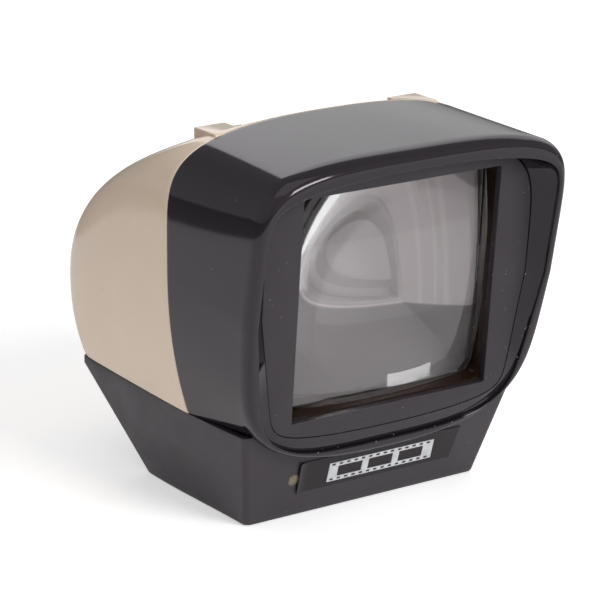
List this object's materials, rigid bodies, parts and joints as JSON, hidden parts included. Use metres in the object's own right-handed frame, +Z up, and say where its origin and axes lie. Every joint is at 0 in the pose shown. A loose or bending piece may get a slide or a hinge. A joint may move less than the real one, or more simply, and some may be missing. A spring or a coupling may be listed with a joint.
{
  "type": "slide viewer",
  "caption": "Free-standing battery-lit slide viewer: screen-shaped hood with a thick square lens, domed rear cover with slide tabs, tapered base.",
  "frame": {"origin": "centre of the base's bottom face", "axes": "-Y towards the viewer's eye, out of the lens; +X right as seen from the lens side; +Z up"},
  "size_m": [0.0978, 0.0998, 0.1006],
  "materials": {
    "base": "satin",
    "hood": "gloss",
    "cover": "satin",
    "inner_plastic": "matte",
    "steel": "satin",
    "brass": "satin",
    "label": "satin",
    "foil": "satin",
    "mask": "satin",
    "lens": "clear",
    "opal": "matte",
    "reflector": "gloss",
    "lamp_glass": "clear",
    "insulation": "matte",
    "cell": "gloss",
    "lead_red": "satin",
    "lead_black": "satin",
    "lead_blue": "satin"
  },
  "bodies": {
    "housing": {"base": "base", "hood": "hood", "rear_cover": "cover", "chassis": "inner_plastic", "screw_front_right": "steel", "screw_front_left": "steel", "screw_rear_right": "steel", "screw_rear_left": "steel", "label_plate": "label", "label_motif": "foil", "mask": "mask", "lens": "lens", "lens_cell": "inner_plastic", "light_tunnel": "inner_plastic", "slide_guide": "cover", "leaf_spring_left": "brass", "leaf_spring_right": "brass", "return_spring_left": "steel", "return_spring_right": "steel", "diffuser": "opal", "lever_pin": "steel", "lever_bracket": "steel", "lever_spring": "steel", "contact_post": "insulation", "fixed_contact": "brass", "reflector": "reflector", "lamp_glass": "lamp_glass", "lamp_filament": "steel", "lamp_cap": "brass", "lamp_socket": "brass", "lamp_bracket": "steel", "insulator": "insulation", "tip_contact": "brass", "battery_box": "inner_plastic", "cell_a": "cell", "cell_b": "cell", "link_contact": "steel", "positive_contact": "steel", "negative_contact": "steel", "lead_supply": "lead_red", "lead_return": "lead_black", "lead_lamp": "lead_blue"},
    "slide_carrier": {"slide_rest": "inner_plastic"},
    "lever": {"switch_lever": "brass"},
    "door": {"battery_door": "base"}
  },
  "joints": [
    {"name": "slide_press", "type": "slide", "parent": "housing", "child": "slide_carrier", "axis": [0, 0, -1], "range_m": [0, 0.008], "stiffness_N_per_m": 250, "springref_m": -0.004, "deforming": ["return_spring_left", "return_spring_right"]},
    {"name": "switch_turn", "type": "hinge", "parent": "housing", "child": "lever", "pos_m": [0, 0.014, 0.033], "axis": [1, 0, 0], "range_deg": [0, 32.5]},
    {"name": "door_slide", "type": "slide", "parent": "housing", "child": "door", "axis": [0, 1, 0], "range_m": [0, 0.036]}
  ],
  "couplings": [
    {"joint": "switch_turn", "follows": "slide_press", "rad_per_m": 70.2}
  ]
}
